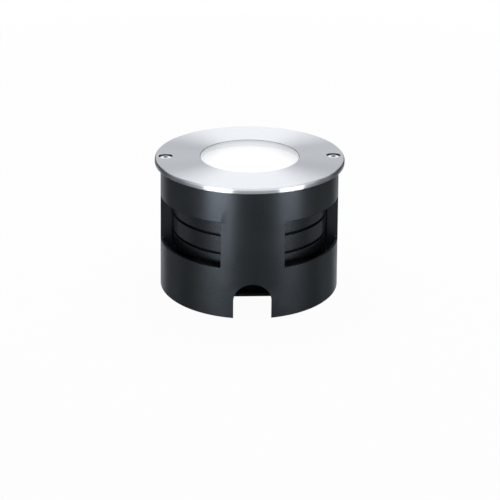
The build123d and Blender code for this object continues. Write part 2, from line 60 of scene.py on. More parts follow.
white = (1.0, 1.0, 1.0)
bevelSamples = 6
print("frame loaded with", len(nodes), "nodes")


class Wire:
    # one socket of a node tree: sums on it add Math nodes, and node() adds any other node
    def __init__(self, tree, socket=None):
        self.tree = tree
        self.socket = socket

    def node(self, kind, settings=None, inputs=None, output=0):
        made = self.tree.nodes.new("ShaderNode" + kind)
        for name, value in (settings or {}).items():
            if name == "stops":
                self.setStops(made.color_ramp.elements, value)
            else:
                setattr(made, name, value)
        for name, value in (inputs or {}).items():
            if isinstance(value, Wire):
                self.tree.links.new(value.socket, made.inputs[name])
            else:
                made.inputs[name].default_value = value
        if not made.outputs:
            return None
        return Wire(self.tree, made.outputs[output])

    def setStops(self, elements, stops):
        # a ramp starts with two stops: one goes, the other becomes the first of these
        elements.remove(elements[1])
        for place, (position, level) in enumerate(stops):
            stop = elements.new(position) if place else elements[0]
            stop.position = position
            stop.color = (level, level, level, 1.0)

    def pick(self, output):
        return Wire(self.tree, self.socket.node.outputs[output])

    def place(self):
        # where a point of the part lies at rest, in metres
        return self.node("TexCoord", output="Object")

    def split(self):
        x = self.node("SeparateXYZ", {}, {0: self})
        return x, x.pick("Y"), x.pick("Z")

    def noise(self, place, size, detail=2.0):
        # soft noise with features of about this size
        return self.node("TexNoise", {}, {"Vector": place, "Scale": 1.0 / size, "Detail": detail})

    def lines(self, place, size):
        # noise along one number only
        inputs = {"W": place / size, "Scale": 1.0}
        return self.node("TexNoise", {"noise_dimensions": "1D"}, inputs)

    def softEdge(self, radius):
        return self.node("Bevel", {"samples": bevelSamples}, {"Radius": radius})

    def bump(self, strength, depth, normal=None):
        # the normal with this socket as a height, depth metres from 0 to 1
        inputs = {"Strength": strength, "Distance": depth, "Height": self}
        if normal is not None:
            inputs["Normal"] = normal
        return self.node("Bump", {}, inputs)

    def maths(self, operation, *values):
        return self.node("Math", {"operation": operation}, dict(enumerate(values)))

    def vectorMaths(self, operation, *values, output=0):
        return self.node("VectorMath", {"operation": operation}, dict(enumerate(values)), output)

    def absolute(self):
        return self.maths("ABSOLUTE", self)

    def larger(self, other):
        return self.maths("MAXIMUM", self, other)

    def length(self):
        return self.vectorMaths("LENGTH", self, output="Value")

    def fromAxis(self):
        # how far this place lies from the upright axis
        return self.vectorMaths("MULTIPLY", self, (1.0, 1.0, 0.0)).length()

    def between(self, low, high):
        # 0 at low, 1 at high, smooth in the middle
        limits = {"Value": self, "From Min": low, "From Max": high}
        return self.node("MapRange", {"interpolation_type": "SMOOTHSTEP"}, limits)

    def swing(self, amount):
        # a value of 0 to 1 as a change of half the amount either way
        return (self - 0.5) * amount

    def blend(self, first, second):
        # colour mix with this socket as the factor
        return self.node("Mix", {"data_type": "RGBA"}, {0: self, 6: first, 7: second}, 2)

    def shades(self, colour, first, second):
        # from one shade of a colour to another, with this socket as the factor
        return self.blend(shaded(colour, first), shaded(colour, second))

    def __add__(self, other):
        return self.maths("ADD", self, other)

    def __sub__(self, other):
        return self.maths("SUBTRACT", self, other)

    def __rsub__(self, other):
        return self.maths("SUBTRACT", other, self)

    def __mul__(self, other):
        return self.maths("MULTIPLY", self, other)

    def __truediv__(self, other):
        return self.maths("DIVIDE", self, other)

    def __pow__(self, other):
        return self.maths("POWER", self, other)

    __radd__ = __add__


def distance(x, y):
    return (x * x + y * y) ** 0.5


def newMaterial(name):
    material = bpy.data.materials.new(name)
    material.use_nodes = True
    material.node_tree.nodes.clear()
    return material, Wire(material.node_tree)


def opaque(colour):
    return (*colour, 1.0)


def shaded(colour, share):
    # the same colour, lighter or darker
    return (*(channel * share for channel in colour), 1.0)


def finishWith(wires, inputs):
    shader = wires.node("BsdfPrincipled", {}, inputs)
    wires.node("OutputMaterial", {}, {"Surface": shader})


def dress(material, *names):
    for name in names:
        for slot in nodes[name].material_slots:
            slot.material = material


# Camera: where the photograph was taken from
shot = {
    "lens": 98.6,
    "sensor": 36.0,
    "distance": 817.7 * mm,
    "azimuth": -2.487,
    "elevation": 23.276,
    "roll": 0.509,
    "aimRight": 0.64 * mm,
    "aimHeight": 19.96 * mm,
    "clipStart": 10 * mm,
    "clipEnd": 20.0,
}


def placeCamera():
    azimuth, elevation, roll = (math.radians(shot[k]) for k in ("azimuth", "elevation", "roll"))
    flat = math.cos(elevation)
    back = Vector((math.sin(azimuth) * flat, -math.cos(azimuth) * flat, math.sin(elevation)))
    right = Vector((math.cos(azimuth), math.sin(azimuth), 0.0))
    up = back.cross(right)
    aim = Vector((0.0, 0.0, shot["aimHeight"])) + right * shot["aimRight"]
    tilted = right * math.cos(roll) + up * math.sin(roll)
    lens = bpy.data.cameras.new("photoCamera")
    lens.lens = shot["lens"]
    lens.sensor_width = shot["sensor"]
    lens.clip_start = shot["clipStart"]
    lens.clip_end = shot["clipEnd"]
    camera = bpy.data.objects.new("photoCamera", lens)
    scene.collection.objects.link(camera)
    turn = Matrix((tilted, back.cross(tilted), back)).transposed().to_4x4()
    camera.matrix_world = Matrix.Translation(aim + back * shot["distance"]) @ turn
    scene.camera = camera


placeCamera()
print("camera placed")

# Studio: white sweep behind, dim flanks, two low softboxes in front and a wide one overhead
studio = {
    "fill": 0.30,
    "peak": 1.5,
    # what gloss meets round the part, as shares of the peak
    # from straight behind, at 0, to straight in front, at 1
    "below": (
        (0.0, 0.44), (0.11, 0.40), (0.18, 0.12), (0.25, 0.16), (0.34, 0.22),
        (0.50, 0.19), (0.62, 0.28), (0.75, 0.48), (0.87, 0.40), (0.97, 0.28),
    ),
    "above": (
        (0.0, 0.75), (0.07, 0.75), (0.18, 0.58), (0.28, 0.62), (0.46, 0.10),
        (0.50, 0.12), (0.58, 0.46), (0.66, 0.60), (0.80, 0.72), (0.95, 0.80),
    ),
    "horizon": (-0.24, 0.02),
    "sink": (-0.43, -0.35),
    "backSink": 0.12,
    "backRise": 0.25,
    "gapFrom": (-0.36, -0.26),
    "gapTo": (0.06, 0.29),
    "gapSide": 0.24,
    "sideFrom": (0.06, 0.14),
    "gapDark": 0.95,
    "frontFrom": (0.30, 0.50),
    "tint": (0.86, 0.92, 1.0),
    "tintLoss": 0.7,
}
softboxes = {
    "leftBox": {"azimuth": -38.0, "width": 0.44, "radiance": 13.2},
    "rightBox": {"azimuth": 47.0, "width": 0.40, "radiance": 8.0},
}
softboxStand = {"reach": 0.80, "bottom": -0.14, "top": 0.03, "colour": (0.92, 0.96, 1.0)}
topBox = {"place": (0.0, 0.25, 0.80), "width": 1.05, "depth": 0.70, "radiance": 1.82, "colour": white}
floorLook = {
    "colour": (0.92, 0.92, 0.92),
    "whiteShare": 0.96,
    "radius": 900 * mm,
    "fade": (350 * mm, 800 * mm),
    "sides": 96,
    "underDrop": 0.3 * mm,
}


def lightWorld():
    world = bpy.data.worlds.new("studio")
    scene.world = world
    world.use_nodes = True
    world.node_tree.nodes.clear()
    wires = Wire(world.node_tree)
    depth, height = wires.node("TexCoord", output="Generated").split()[1:]
    towardsFront = 0.5 - depth * 0.5
    below = wires.node("ValToRGB", {"stops": studio["below"]}, {0: towardsFront})
    above = wires.node("ValToRGB", {"stops": studio["above"]}, {0: towardsFront})
    back = 1.0 - towardsFront.between(*studio["frontFrom"])
    sunk = below * (height + back * studio["backSink"]).between(*studio["sink"])
    rise = (height - back * studio["backRise"]).between(*studio["horizon"])
    # a dark band stands behind between the table and the sweep, taller beside than straight behind
    beside = towardsFront.between(*studio["sideFrom"]) * studio["gapSide"]
    overGap = (height - beside).between(*studio["gapTo"])
    gap = back * (height.between(*studio["gapFrom"]) - overGap)
    around = (sunk + rise * (above - sunk)) * (1.0 - gap * studio["gapDark"])
    camera = wires.node("LightPath", output="Is Camera Ray")
    mirrored = camera.pick("Is Glossy Ray").larger(camera.pick("Is Transmission Ray"))
    seen = camera + mirrored * around * studio["peak"] + (1.0 - camera - mirrored) * studio["fill"]
    # the dim parts of the studio are bluish, the bright ones white
    dim = mirrored * (1.0 - around * studio["tintLoss"])
    colour = dim.blend(opaque(white), opaque(studio["tint"]))
    light = wires.node("Background", {}, {"Color": colour, "Strength": seen})
    wires.node("OutputWorld", {}, {"Surface": light})


def hangLamp(name, place, aim, width, height, radiance, colour):
    lamp = bpy.data.lights.new(name, "AREA")
    lamp.shape = "RECTANGLE"
    lamp.size = width
    lamp.size_y = height
    lamp.energy = radiance * width * height * math.pi
    lamp.color = colour
    holder = bpy.data.objects.new(name, lamp)
    scene.collection.objects.link(holder)
    holder.location = place
    holder.rotation_mode = "QUATERNION"
    holder.rotation_quaternion = (place - aim).to_track_quat("Z", "Y")
    holder.visible_camera = False
    return holder


def hangSoftboxes():
    stand = softboxStand
    middle = (stand["bottom"] + stand["top"]) / 2
    tall = stand["top"] - stand["bottom"]
    aim = Vector((0.0, 0.0, middle))
    for name, box in softboxes.items():
        azimuth = math.radians(box["azimuth"])
        place = Vector((math.sin(azimuth) * stand["reach"], -math.cos(azimuth) * stand["reach"], middle))
        card = hangLamp(name, place, aim, box["width"], tall, box["radiance"], stand["colour"])
        card.visible_diffuse = False  # seen only in what mirrors it
    place = Vector(topBox["place"])
    width, depth = topBox["width"], topBox["depth"]
    hangLamp("topBox", place, Vector(), width, depth, topBox["radiance"], topBox["colour"])


def floorPaper():
    material, wires = newMaterial("studioFloor")
    away = wires.place().length().between(*floorLook["fade"])
    matt = wires.node("BsdfDiffuse", {}, {"Color": opaque(floorLook["colour"])})
    glow = wires.node("Emission", {}, {"Color": opaque(white), "Strength": 1.0})
    seen = wires.node("LightPath", output="Is Camera Ray") * floorLook["whiteShare"]
    paper = wires.node("MixShader", {}, {0: seen, 1: matt, 2: glow})
    clear = wires.node("BsdfTransparent")
    # clear from below too, so that the underside can be looked at
    gone = away.larger(wires.node("NewGeometry", output="Backfacing"))
    surface = wires.node("MixShader", {}, {0: gone, 1: paper, 2: clear})
    wires.node("OutputMaterial", {}, {"Surface": surface})
    return material


def floorCircle(radius, height):
    turns = [2 * math.pi * step / floorLook["sides"] for step in range(floorLook["sides"])]
    return [(radius * math.cos(turn), radius * math.sin(turn), height) for turn in turns]


def laySheet(name, corners, faces, paper, solid):
    mesh = bpy.data.meshes.new(name)
    mesh.from_pydata(corners, [], faces)
    mesh.materials.append(paper)
    floor = bpy.data.objects.new(name, mesh)
    scene.collection.objects.link(floor)
    floor.visible_glossy = solid
    floor.visible_shadow = solid


def layFloor():
    # the softboxes reach below the floor, so only the disc under the pot stops their light
    sides = floorLook["sides"]
    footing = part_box("mounting_pot")[1].x
    ground = cadBox[0].z
    paper = floorPaper()
    pairs = [(step, (step + 1) % sides) for step in range(sides)]
    faces = [(near, sides + near, sides + after, after) for near, after in pairs]
    corners = floorCircle(footing, ground) + floorCircle(floorLook["radius"], ground)
    laySheet("studioFloor", corners, faces, paper, False)
    corners = floorCircle(footing, ground - floorLook["underDrop"])
    laySheet("floorUnderPot", corners, [list(range(sides))], paper, True)


lightWorld()
hangSoftboxes()
layFloor()
print("studio lit by", len(softboxes) + 1, "softboxes")

# Trim ring: stainless steel brushed in circles, rounded at the top rim and rolled at the lower edge
ringSteel = {
    "colour": (0.63, 0.64, 0.655),
    "shades": (0.94, 1.06),
    "roughness": 0.45,
    "roughSwing": 0.12,
    "anisotropy": 0.95,
    "brushTurn": 0.25,
    "lineWidth": 0.22 * mm,
    "lineBreaks": 5.0,
    "lineDetail": 4.0,
    "lineDepth": 0.004 * mm,
    "lineStrength": 0.6,
    "topRise": (0.90, 0.98),
    "lipRise": (0.4, 0.6),
    # the lip's colour share is painted shade
    "lipPaintedShade": 0.45,
    "wallRoughness": 0.30,
    # the wall's colour share is a painted highlight
    "wallPaintedHighlight": 1.14,
    "boreRoughness": 0.14,
    # the bore's shares, foot then top, paint in the glow of the lit glass it reflects
    "borePaintedGlassGlow": (1.32, 0.98),
    "boreWithin": (30.0 * mm, 31.0 * mm),
    "holeGap": 0.4 * mm,
    "holeSoft": 0.1 * mm,
    # the holes' colour share is painted shade
    "holePaintedShade": 0.04,
    "holeEdge": 0.35 * mm,
    "crown": 1.7 * mm,
    "crownStart": 38.0,
    "roll": 0.75 * mm,
    "rollSteps": 6,
    "square": 0.5 * mm,
    "squareRise": 0.9,
    "flatRise": (0.01, 0.999),
    "crease": 32.0,
    "weld": 0.001 * mm,
}


def brushedRingSteel():
    look = ringSteel
    material, wires = newMaterial("brushedRingSteel")
    x, y, z = wires.place().split()
    radius = distance(x, y)
    circle = {
        "X": radius / look["lineWidth"],
        "Y": x / radius * look["lineBreaks"],
        "Z": y / radius * look["lineBreaks"],
    }
    strokes = wires.noise(wires.node("CombineXYZ", {}, circle), 1.0, look["lineDetail"])
    facing = wires.node("TexCoord", output="Normal").split()[2]
    upward = facing.between(*look["topRise"])
    inside = (1.0 - radius.between(*look["boreWithin"])) * (1.0 - upward)
    lip = inside * facing.between(*look["lipRise"])
    bore = inside - lip
    # both screw holes at once: they are mirror images in x
    low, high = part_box("trim_screw_right")
    sideways = x.absolute() - (low.x + high.x) / 2
    holeRadius = (high.x - low.x) / 2 + look["holeGap"]
    inHole = 1.0 - distance(sideways, y).between(holeRadius, holeRadius + look["holeSoft"])
    ringBottom, ringTop = (corner.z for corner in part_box("trim_ring"))
    # the counterbore walls are painted nearly black below the top edge: painted shade in the screw holes
    hole = inHole * (1.0 - z.between(ringTop - look["holeEdge"], ringTop - look["holeEdge"] / 2))
    tint = strokes.shades(look["colour"], *look["shades"])
    # every face but the brushed top takes a lighter copy of the steel: a painted highlight
    bright = upward.blend(shaded(look["colour"], look["wallPaintedHighlight"]), tint)
    # the bore wall is painted lighter towards the glass: a painted reflection of the lit glass
    lit = z.between(ringBottom, ringTop).shades(look["colour"], *look["borePaintedGlassGlow"])
    bright = bore.blend(bright, lit)
    # the lip at the top of the bore is painted darker: painted shade along the opening's edge
    bright = lip.blend(bright, shaded(look["colour"], look["lipPaintedShade"]))
    wall = look["wallRoughness"] + bore * (look["boreRoughness"] - look["wallRoughness"])
    finishWith(wires, {
        "Base Color": hole.blend(bright, shaded(look["colour"], look["holePaintedShade"])),
        "Metallic": 1.0,
        "Roughness": wall + upward * (look["roughness"] - wall) + strokes.swing(look["roughSwing"]),
        "Anisotropic": look["anisotropy"],
        "Anisotropic Rotation": look["brushTurn"],
        "Normal": strokes.bump(look["lineStrength"], look["lineDepth"]),
    })
    return material


def isFlat(face):
    # the plate's top, underside and straight wall, not its rounded rims
    upright, level = ringSteel["flatRise"]
    rise = abs(face.normal.z)
    return rise > level or rise < upright


def moveLoop(edges, radius, height):
    # a loop of edges round the axis, set to a radius and a height
    for vert in {vert for edge in edges for vert in edge.verts}:
        vert.co = (*(vert.co.xy.normalized() * radius), height)


def middleOf(part):
    # a corner's place, or the middle of an edge or a face
    corners = getattr(part, "verts", [part])
    return tuple(sum((corner.co for corner in corners), Vector()) / len(corners))


def settleOrder(mesh):
    # growing the rim gives another order on each run, so all parts are numbered by their places
    for parts in (mesh.verts, mesh.edges, mesh.faces):
        for number, part in enumerate(sorted(parts, key=middleOf)):
            part.index = number
        parts.sort()


def rimProfile(low, high):
    # radius and height round the rim, from the rolled lower edge to the rounded top
    look = ringSteel
    outer = high.x
    shares = [step / look["rollSteps"] for step in range(look["rollSteps"] + 1)]
    rolled = [math.radians(90.0) * share for share in shares]
    crowned = [math.radians(90.0 - look["crownStart"]) * share for share in shares]
    crest = high.z - look["crown"] * math.sin(crowned[-1])
    return [
        (outer - look["roll"] * (1 - math.sin(a)), low.z + look["roll"] * (1 - math.cos(a))) for a in rolled
    ] + [
        (outer - look["crown"] * (1 - math.cos(a)), crest + look["crown"] * math.sin(a)) for a in crowned
    ]


def rollRing(name, node, body):
    # a copy of the turned plate, its square rim cut off and turned again with rounded edges
    look = ringSteel
    low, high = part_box(node)
    mesh = bmesh.new()
    mesh.from_mesh(nodes[node].data)
    bmesh.ops.remove_doubles(mesh, verts=mesh.verts, dist=look["weld"])
    rim = {vert for vert in mesh.verts if vert.co.xy.length > high.x - look["square"]}
    wall = [
        face for face in mesh.faces if rim.issuperset(face.verts) and abs(face.normal.z) < look["squareRise"]
    ]
    bmesh.ops.delete(mesh, geom=wall, context="FACES")
    cut = [edge for edge in mesh.edges if edge.is_boundary]
    middle = (low.z + high.z) / 2
    foot = [edge for edge in cut if edge.verts[0].co.z < middle]
    head = [edge for edge in cut if edge.verts[0].co.z > middle]
    rounds = rimProfile(low, high)
    moveLoop(head, *rounds.pop())
    moveLoop(foot, *rounds.pop(0))
    for radius, height in rounds:
        grown = bmesh.ops.extrude_edge_only(mesh, edges=foot)["geom"]
        foot = [part for part in grown if isinstance(part, bmesh.types.BMEdge)]
        moveLoop(foot, radius, height)
    bmesh.ops.bridge_loops(mesh, edges=foot + head)
    bmesh.ops.recalc_face_normals(mesh, faces=mesh.faces)
    settleOrder(mesh)
    for face in mesh.faces:
        face.smooth = True
    for edge in mesh.edges:
        kinds = {isFlat(face) for face in edge.link_faces}
        edge.smooth = len(kinds) == 1 and edge.calc_face_angle(0.0) < math.radians(look["crease"])
    data = bpy.data.meshes.new(name)
    mesh.to_mesh(data)
    mesh.free()
    data.materials.clear()
    data.materials.append(brushedRingSteel())
    piece = bpy.data.objects.new(name, data)
    scene.collection.objects.link(piece)
    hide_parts(node)
    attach(piece, body)


rollRing("trimRing", "trim_ring", "trim")
print("trim ring brushed and rolled")

# Mounting pot: satin black moulded plastic with a fine spark grain
potPlastic = {
    "colour": (0.0105, 0.0136, 0.0146),
    "shades": (0.85, 1.2),
    "gloss": (0.82, 0.90, 1.0, 1.0),
    "glossLevel": 0.62,
    "roughness": 0.30,
    "grain": 0.45 * mm,
    "grainDepth": 0.015 * mm,
    "grainStrength": 0.5,
    "grainSwing": 0.10,
    "cloud": 14.0 * mm,
    "cloudDetail": 3.0,
    "cloudSwing": 0.10,
    "edge": 0.35 * mm,
    "wornFrom": (0.02, 0.25),
    "wornBright": 1.9,
    "wornSmooth": 0.08,
}


def mouldedPotPlastic():
    look = potPlastic
    material, wires = newMaterial("mouldedPotPlastic")
    place = wires.place()
    grain = wires.noise(place, look["grain"])
    cloud = wires.noise(place, look["cloud"], look["cloudDetail"])
    soft = wires.softEdge(look["edge"])
    plain = wires.node("NewGeometry", output="Normal")
    along = soft.vectorMaths("DOT_PRODUCT", soft, plain, output="Value")
    worn = (1.0 - along).between(*look["wornFrom"])
    base = cloud.shades(look["colour"], *look["shades"])
    uneven = look["roughness"] + cloud.swing(look["cloudSwing"]) + grain.swing(look["grainSwing"])
    finishWith(wires, {
        "Base Color": worn.blend(base, shaded(look["colour"], look["wornBright"])),
        "Specular IOR Level": look["glossLevel"],
        "Specular Tint": look["gloss"],
        "Roughness": uneven - worn * look["wornSmooth"],
        "Normal": grain.bump(look["grainStrength"], look["grainDepth"], soft),
    })
    return material


dress(mouldedPotPlastic(), "mounting_pot")
print("mounting pot moulded")

# Lamp housing and its cover: black paint on die-cast metal with faint turned lines
housingPaint = {
    "colour": (0.0072, 0.0096, 0.0102),
    "shades": (0.8, 1.25),
    "gloss": (0.82, 0.89, 1.0, 1.0),
    "glossLevel": 0.66,
    "roughness": 0.28,
    "turnedLine": 0.30 * mm,
    "turnedDepth": 0.006 * mm,
    "turnedStrength": 0.2,
    "turnedSwing": 0.08,
    "peel": 1.6 * mm,
    "peelSwing": 0.06,
    "edge": 0.25 * mm,
}


def turnedBlackPaint():
    look = housingPaint
    material, wires = newMaterial("turnedBlackPaint")
    place = wires.place()
    turned = wires.lines(place.split()[2], look["turnedLine"])
    peel = wires.noise(place, look["peel"])
    soft = wires.softEdge(look["edge"])
    finishWith(wires, {
        "Base Color": peel.shades(look["colour"], *look["shades"]),
        "Specular IOR Level": look["glossLevel"],
        "Specular Tint": look["gloss"],
        "Roughness": look["roughness"] + turned.swing(look["turnedSwing"]) + peel.swing(look["peelSwing"]),
        "Normal": turned.bump(look["turnedStrength"], look["turnedDepth"], soft),
    })
    return material


dress(turnedBlackPaint(), "lamp_housing", "base_cover")
print("lamp housing painted")

# Front glass: frosted and lit from inside
frostedGlass = {
    "colour": (0.20, 0.205, 0.21),
    "shades": (0.97, 1.03),
    "roughness": 0.38,
    "glow": 0.75,
    "glowMiddle": white,
    # the dimmer rim glow is painted shade
    "glowRim": (0.89, 0.90, 0.91),
    "rim": (19.0 * mm, 29.5 * mm),
    "frost": 0.5 * mm,
    "frostDetail": 3.0,
    "frostDepth": 0.01 * mm,
    "frostStrength": 0.4,
    "frostSwing": 0.1,
}


def litFrostedGlass():
    look = frostedGlass
    material, wires = newMaterial("litFrostedGlass")
    place = wires.place()
    outwards = place.fromAxis().between(*look["rim"])
    frost = wires.noise(place, look["frost"], look["frostDetail"])
    finishWith(wires, {
        "Base Color": frost.shades(look["colour"], *look["shades"]),
        "Roughness": look["roughness"] + frost.swing(look["frostSwing"]),
        # the glow dims towards the rim: painted shade where the ring's wall meets the glass
        "Emission Color": outwards.blend(opaque(look["glowMiddle"]), opaque(look["glowRim"])),
        "Emission Strength": look["glow"],
        "Normal": frost.bump(look["frostStrength"], look["frostDepth"]),
    })
    return material


dress(litFrostedGlass(), "front_glass")
print("front glass frosted")

# Screws: bright steel, turned on the heads, with painted shade down in the sockets and other hollows
screwSteel = {
    "colour": (0.86, 0.87, 0.89),
    "shades": (0.93, 1.07),
    # the recess colour is painted shade
    "recess": (0.03, 0.03, 0.035),
    "recessReach": 4.0 * mm,
    "recessSamples": 8,
    "openFrom": (0.45, 0.95),
    "roughness": 0.24,
    "scratch": 0.35 * mm,
    "scratchDetail": 3.0,
    "scratchDepth": 0.004 * mm,
    "scratchStrength": 0.5,
    "scratchSwing": 0.16,
}


def brightScrewSteel():
    look = screwSteel
    material, wires = newMaterial("brightScrewSteel")
    scratch = wires.noise(wires.place(), look["scratch"], look["scratchDetail"])
    nearby = {"samples": look["recessSamples"], "only_local": True}
    # ambient occlusion paints that dark colour into the sockets and other hollows: painted shade
    openness = wires.node("AmbientOcclusion", nearby, {"Distance": look["recessReach"]}, "AO")
    bright = scratch.shades(look["colour"], *look["shades"])
    finishWith(wires, {
        "Base Color": openness.between(*look["openFrom"]).blend(opaque(look["recess"]), bright),
        "Metallic": 1.0,
        "Roughness": look["roughness"] + scratch.swing(look["scratchSwing"]),
        "Normal": scratch.bump(look["scratchStrength"], look["scratchDepth"]),
    })
    return material


screwFinish = brightScrewSteel()
dress(screwFinish, "clamp_screws", "cover_screws", "board_screws", "driver_screws")

# Trim screws: domed head with a hexagon socket, and a rolled thread that the solid only envelopes
trimScrew = {
    "columns": 36,
    "headHeight": 1.98 * mm,
    "headSunk": 0.25 * mm,
    "headEdge": 1.45 * mm,
    "headBreak": 0.1 * mm,
    "headFlat": 1.6 * mm,
    "domeSteps": 6,
    "socketSize": 2.5 * mm,
    "socketDepth": 1.2 * mm,
    "socketBreak": 0.12 * mm,
    "pointDepth": 0.35 * mm,
    "shank": 1.95 * mm,
    "thread": 0.42 * mm,
    "flankGain": 1.25,
    "pitch": 0.70 * mm,
    "samples": 6,
    "neck": 0.9 * mm,
    "tipChamfer": 0.6 * mm,
    "crease": 32.0,
    "weld": 0.002 * mm,
}


def hexagonRadius(size, angle):
    # distance from the middle to a hexagon's side, size across its flats
    corner = math.pi / 3
    return size / 2 / math.cos(angle % corner - corner / 2)


def addSpot(mesh, centre, column, reach, height):
    angle = 2 * math.pi * column / trimScrew["columns"]
    if callable(reach):
        reach = reach(angle)
    spot = (centre.x + reach * math.cos(angle), centre.y + reach * math.sin(angle), height)
    return mesh.verts.new(spot)


def addRing(mesh, centre, height, radius):
    return [addSpot(mesh, centre, column, radius, height) for column in range(trimScrew["columns"])]


def bridgeRings(mesh, lower, upper):
    for step in range(len(lower)):
        after = (step + 1) % len(lower)
        mesh.faces.new((lower[step], lower[after], upper[after], upper[step]))


def windThread(mesh, centre, low, high):
    # rows that climb one pitch a turn, from a root that the thread fades into at both ends
    columns, samples, pitch = trimScrew["columns"], trimScrew["samples"], trimScrew["pitch"]
    root = trimScrew["shank"] - trimScrew["thread"]
    turns = math.ceil((high - low) / pitch) + 1
    grid = []
    for row in range(turns * samples + 1):
        flank = 1.0 - abs(2.0 * (row / samples % 1.0) - 1.0)
        line = []
        for column in range(columns):
            rise = low + pitch * (row / samples + column / columns - 1.0)
            height = min(max(rise, low), high)
            fade = min((height - low) / pitch, (high - height) / pitch, 1.0)
            reach = root + trimScrew["thread"] * min(1.0, trimScrew["flankGain"] * flank) * fade
            line.append(addSpot(mesh, centre, column, reach, height))
        grid.append(line)
    for row in range(len(grid) - 1):
        for column in range(columns):
            if column + 1 < columns:
                right, above = grid[row][column + 1], grid[row + 1][column + 1]
            elif row + 1 + samples < len(grid):
                right, above = grid[row + samples][0], grid[row + 1 + samples][0]
            else:
                continue
            mesh.faces.new((grid[row][column], right, above, grid[row + 1][column]))


def headProfile(seat, top, threadHigh, headRadius):
    # height and radius from the neck round the dome to the flat about the socket
    look = trimScrew
    root = look["shank"] - look["thread"]
    rise = top - seat - look["headEdge"]
    drop = (headRadius ** 2 - look["headFlat"] ** 2 - rise ** 2) / (2 * rise)
    ballRadius = math.hypot(headRadius, drop)
    profile = [
        (threadHigh, root),
        (seat, root),
        (seat, headRadius - look["headBreak"]),
        (seat + look["headBreak"], headRadius),
    ]
    for step in range(look["domeSteps"] + 1):
        lift = rise * step / look["domeSteps"]
        profile.append((seat + look["headEdge"] + lift, math.sqrt(ballRadius ** 2 - (drop + lift) ** 2)))
    return profile


def turnTrimScrew(name, node, body):
    look = trimScrew
    low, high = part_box(node)
    centre = (low + high) / 2
    headRadius = (high.x - low.x) / 2
    seat = high.z - look["headHeight"]
    top = high.z - look["headSunk"]
    root = look["shank"] - look["thread"]
    threadLow = low.z + look["tipChamfer"]
    threadHigh = seat - look["neck"]
    mesh = bmesh.new()
    windThread(mesh, centre, threadLow, threadHigh)
    tip = addRing(mesh, centre, low.z, root - look["tipChamfer"] / 2)
    bridgeRings(mesh, tip, addRing(mesh, centre, threadLow, root))
    mesh.faces.new(list(reversed(tip)))
    profile = headProfile(seat, top, threadHigh, headRadius)
    rings = [addRing(mesh, centre, height, radius) for height, radius in profile]
    for inset, depth in ((look["socketBreak"], 0.0), (0.0, look["socketBreak"]), (0.0, look["socketDepth"])):
        size = look["socketSize"] + 2 * inset
        rings.append(addRing(mesh, centre, top - depth, lambda angle: hexagonRadius(size, angle)))
    for lower, upper in zip(rings, rings[1:]):
        bridgeRings(mesh, lower, upper)
    point = mesh.verts.new((centre.x, centre.y, top - look["socketDepth"] - look["pointDepth"]))
    for step in range(look["columns"]):
        mesh.faces.new((rings[-1][step], rings[-1][(step + 1) % look["columns"]], point))
    bmesh.ops.remove_doubles(mesh, verts=mesh.verts, dist=look["weld"])
    bmesh.ops.dissolve_degenerate(mesh, edges=mesh.edges, dist=look["weld"])
    bmesh.ops.recalc_face_normals(mesh, faces=mesh.faces)
    data = bpy.data.meshes.new(name)
    mesh.to_mesh(data)
    mesh.free()
    data.shade_smooth()
    data.set_sharp_from_angle(angle=math.radians(look["crease"]))
    data.materials.append(screwFinish)
    piece = bpy.data.objects.new(name, data)
    scene.collection.objects.link(piece)
    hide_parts(node)
    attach(piece, body)


turnTrimScrew("trimScrewLeft", "trim_screw_left", "left_screw")
turnTrimScrew("trimScrewRight", "trim_screw_right", "right_screw")
print("trim screws threaded")

# Clamp ring and reflector: aluminium, one turned dull and one spun bright
turnedMetal = {
    "clampRing": {
        "colour": (0.52, 0.53, 0.54), "roughness": 0.34, "line": 0.35 * mm, "depth": 0.006 * mm,
    },
    "spunReflector": {
        "colour": (0.86, 0.87, 0.88), "roughness": 0.14, "line": 0.60 * mm, "depth": 0.004 * mm,
    },
}
turnedFinish = {
    "shades": (0.90, 1.08),
    "lineStrength": 0.6,
    "lineSwing": 0.14,
    "hazesPerMetre": 90.0,
    "hazeDetail": 3.0,
    "hazeSwing": 0.10,
}


def turnedAluminium(name):
    look = turnedMetal[name] | turnedFinish
    material, wires = newMaterial(name + "Aluminium")
    place = wires.place()
    lines = wires.lines(place.fromAxis(), look["line"])
    haze = wires.noise(place, 1.0 / look["hazesPerMetre"], look["hazeDetail"])
    finishWith(wires, {
        "Base Color": haze.shades(look["colour"], *look["shades"]),
        "Metallic": 1.0,
        "Roughness": look["roughness"] + lines.swing(look["lineSwing"]) + haze.swing(look["hazeSwing"]),
        "Normal": lines.bump(look["lineStrength"], look["depth"]),
    })
    return material


dress(turnedAluminium("clampRing"), "clamp_ring")
dress(turnedAluminium("spunReflector"), "reflector")
print("clamp ring and reflector turned")

# Rubber, nylon and potted parts: one grained finish, each with its own colour and grain
grainedLooks = {
    "sealRubber": {
        "colour": (0.018, 0.018, 0.019), "spread": 0.35, "roughness": 0.62,
        "grain": 0.30 * mm, "depth": 0.020 * mm,
    },
    "glandNylon": {
        "colour": (0.014, 0.014, 0.015), "spread": 0.30, "roughness": 0.42,
        "grain": 0.40 * mm, "depth": 0.020 * mm,
    },
    "thermalPad": {
        "colour": (0.36, 0.38, 0.41), "spread": 0.15, "roughness": 0.70,
        "grain": 0.25 * mm, "depth": 0.010 * mm,
    },
    "ferriteInductor": {
        "colour": (0.035, 0.034, 0.033), "spread": 0.40, "roughness": 0.55,
        "grain": 0.20 * mm, "depth": 0.015 * mm,
    },
    "epoxyChips": {
        "colour": (0.016, 0.016, 0.018), "spread": 0.25, "roughness": 0.48,
        "grain": 0.15 * mm, "depth": 0.006 * mm,
    },
    "terminalPlastic": {
        "colour": (0.28, 0.31, 0.32), "spread": 0.10, "roughness": 0.45,
        "grain": 0.50 * mm, "depth": 0.010 * mm,
    },
}
